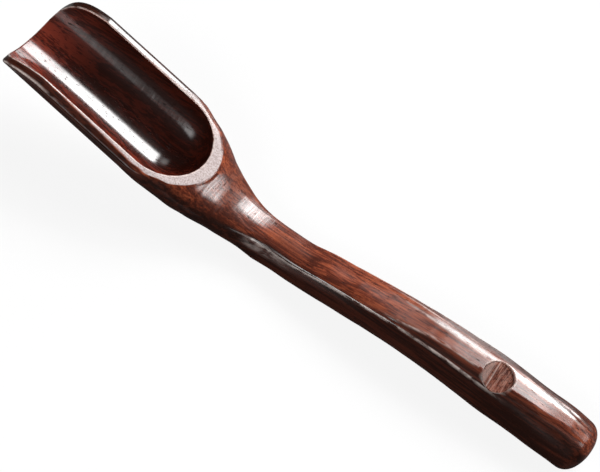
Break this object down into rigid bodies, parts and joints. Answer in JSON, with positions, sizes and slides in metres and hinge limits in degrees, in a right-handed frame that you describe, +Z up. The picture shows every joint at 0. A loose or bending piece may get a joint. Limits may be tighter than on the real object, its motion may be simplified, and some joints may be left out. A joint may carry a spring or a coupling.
{
  "type": "tea scoop",
  "caption": "Carved hardwood tea scoop: an open trough bowl with a swept mouth and thin lip, a saddled neck and a rising handle with a round grip and an oval inlay.",
  "frame": {"origin": "on the table under the middle of the scoop's overall length and width, where it stands on its belly and heel", "axes": "+X from the lip to the end of the grip, +Y across, +Z up"},
  "size_m": [0.175, 0.031, 0.0273],
  "materials": {
    "rosewood": "polished oil and wax over dark red-brown rosewood",
    "end_grain": "matt cut end grain"
  },
  "bodies": {
    "root": {"scoop_body": "rosewood", "knot_plug": "end_grain"}
  },
  "joints": []
}
